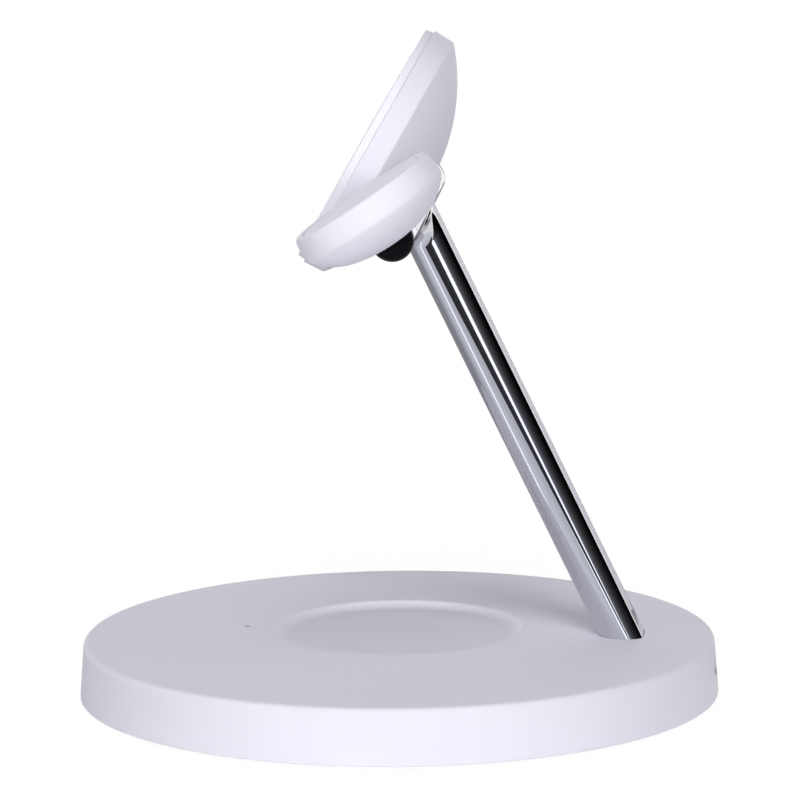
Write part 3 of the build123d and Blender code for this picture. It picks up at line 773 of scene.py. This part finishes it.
flags = {  # corners in metres, and the brightness along a span of X, bent by a power
    "floorFlag": {"corners": ((-0.7, -0.6, lie), (0.658, -0.6, lie), (-0.542, 0.6, lie), (-0.7, 0.6, lie)),
                  "span": (0.0, 0.1), "glow": (0.34, 0.80), "bend": 1.0},
    "gleamFlag": {"corners": ((0.03, 0.028, lie), (0.55, -0.492, lie), (0.55, -0.379, lie),
                              (0.03, 0.0326, lie)),
                  "span": (0.0, 0.2), "glow": (1.7, 1.7), "bend": 1.0},
    "stepFlag": {"corners": ((0.03, 0.0326, lie), (0.55, -0.379, lie), (0.8, 0.5, lie), (0.03, 0.5, lie)),
                 "span": (0.1, 0.32), "glow": (0.86, 0.66), "bend": 1.0},
    "frontFlag": {"corners": ((0.28, -0.5, 0.03), (1.05, -0.5, 0.15), (1.05, 0.6, 0.15), (0.28, 0.6, 0.03)),
                  "span": (0.28, 1.05), "glow": (0.035, 0.075), "bend": 1.0},
    "farCard": {"corners": ((1.6, -0.6, 0.0), (1.6, 1.6, 0.0), (1.6, 1.6, 1.0), (1.6, -0.6, 1.0)),
                "span": (0.0, 1.0), "glow": (1.7, 1.7), "bend": 1.0},
    "rearFlag": {"corners": ((-1.0, 0.55, 0.1), (0.6, 0.55, 0.1), (0.6, 0.55, 0.6), (-1.0, 0.55, 0.6)),
                 "span": (-1.0, 0.6), "glow": (0.0, 0.26), "bend": 5.5}}


def seenRays(tree):
    # one where the camera or a reflection looks, nought for light on the object
    path = tree.nodes.new("ShaderNodeLightPath").outputs
    seen = calc(tree, "MAXIMUM", path["Is Camera Ray"], path["Is Glossy Ray"])
    return calc(tree, "MAXIMUM", seen, path["Is Transmission Ray"])


def paleFloor():
    # pale to the camera and in reflections, with the shadow kept
    finish, tree, shader = newFinish("paleFloor")[:3]
    shader.inputs["Base Color"].default_value = (*floor["colour"], 1)
    shader.inputs["Roughness"].default_value = floor["rough"]
    light = put(tree, "ShaderNodeEmission", {}, (1, 1, 1, 1), floor["glow"]).outputs[0]
    share = calc(tree, "MULTIPLY", seenRays(tree), floor["share"])
    mixed = put(tree, "ShaderNodeMixShader", {}, share, shader.outputs[0], light).outputs[0]
    under = tree.nodes.new("ShaderNodeNewGeometry").outputs["Backfacing"]  # open to a look from below
    clear = tree.nodes.new("ShaderNodeBsdfTransparent").outputs[0]
    seen = put(tree, "ShaderNodeMixShader", {}, under, mixed, clear).outputs[0]
    tree.links.new(seen, tree.nodes["Material Output"].inputs[0])
    return finish


def flagFinish(name, flag):
    finish, tree, _, where = newFinish(name)
    across = put(tree, "ShaderNodeSeparateXYZ", {}, where).outputs[0]
    share = put(tree, "ShaderNodeMapRange", {}, across, *flag["span"], 0, 1).outputs[0]
    bent = calc(tree, "POWER", share, flag["bend"])
    strength = put(tree, "ShaderNodeMapRange", {}, bent, 0, 1, *flag["glow"]).outputs[0]
    light = put(tree, "ShaderNodeEmission", {}, (*studio["flagTint"], 1), strength).outputs[0]
    tree.links.new(light, tree.nodes["Material Output"].inputs[0])
    return finish


def plate(name, corners, finish):
    mesh = bpy.data.meshes.new(name)
    mesh.from_pydata(corners, [], [(0, 1, 2, 3)])
    mesh.materials.append(finish)
    sheet = addPiece(name, mesh)
    return sheet


def softbox(name, spot, size, power, tint):
    light = bpy.data.lights.new(name, "AREA")
    light.shape = "RECTANGLE"
    light.size, light.size_y = size
    light.energy = power
    light.color = tint
    holder = bpy.data.objects.new(name, light)
    scene.collection.objects.link(holder)
    holder.location = spot
    holder.rotation_euler = (-Vector(spot)).to_track_quat("-Z", "Y").to_euler()
    holder.visible_glossy = False


def makeStage():
    half = floor["half"]
    corners = [(x * half, y * half, floor["level"]) for x, y in ((-1, -1), (1, -1), (1, 1), (-1, 1))]
    plate("floor", corners, paleFloor())
    for name, flag in flags.items():
        # studio flags that only reflections see
        card = plate(name, flag["corners"], flagFinish(name, flag))
        card.visible_camera = card.visible_diffuse = card.visible_shadow = False
    for name, box in softboxes.items():
        softbox(name + "Box", **box)
    scene.world = bpy.data.worlds.new("studio")
    scene.world.use_nodes = True
    sky = scene.world.node_tree
    levels = (studio["fill"], studio["shown"])
    level = put(sky, "ShaderNodeMapRange", {}, seenRays(sky), 0, 1, *levels).outputs[0]
    sky.nodes["Background"].inputs["Color"].default_value = (1, 1, 1, 1)
    sky.links.new(level, sky.nodes["Background"].inputs["Strength"])


view = {"distance": 1.2, "elevation": 13.28, "azimuth": 94.68, "roll": -0.58, "pixelsPerMm": 4.785,
        "originPixel": (399.5, 692.7), "frame": 800, "sensor": 36.0}


def makeCamera():
    e, a, roll = (math.radians(view[key]) for key in ("elevation", "azimuth", "roll"))
    focal = view["pixelsPerMm"] * view["distance"] / mm
    toCamera = Vector((math.cos(e) * math.sin(a), -math.cos(e) * math.cos(a), math.sin(e)))
    right = Vector((math.cos(a), math.sin(a), 0))
    ahead = -toCamera
    up = right.cross(ahead)
    half = view["frame"] / 2
    dx, dy = (pixel - half for pixel in view["originPixel"])
    ux = dx * math.cos(roll) + dy * math.sin(roll)
    uy = dy * math.cos(roll) - dx * math.sin(roll)
    pitch, yaw = math.atan2(uy, focal), math.atan2(ux, focal)
    level = ahead
    ahead = level * math.cos(pitch) + up * math.sin(pitch)
    up = up * math.cos(pitch) - level * math.sin(pitch)
    ahead = ahead * math.cos(yaw) - right * math.sin(yaw)
    right = ahead.cross(up)
    across = right * math.cos(roll) + up * math.sin(roll)
    upward = up * math.cos(roll) - right * math.sin(roll)
    camera = bpy.data.objects.new("camera", bpy.data.cameras.new("camera"))
    scene.collection.objects.link(camera)
    camera.data.sensor_width = view["sensor"]
    camera.data.lens = focal * view["sensor"] / view["frame"]
    turn = Matrix((across, upward, -ahead)).transposed().to_4x4()
    camera.matrix_world = Matrix.Translation(toCamera * view["distance"]) @ turn
    scene.camera = camera


makeStage()
makeCamera()
print("stage, light and camera made")
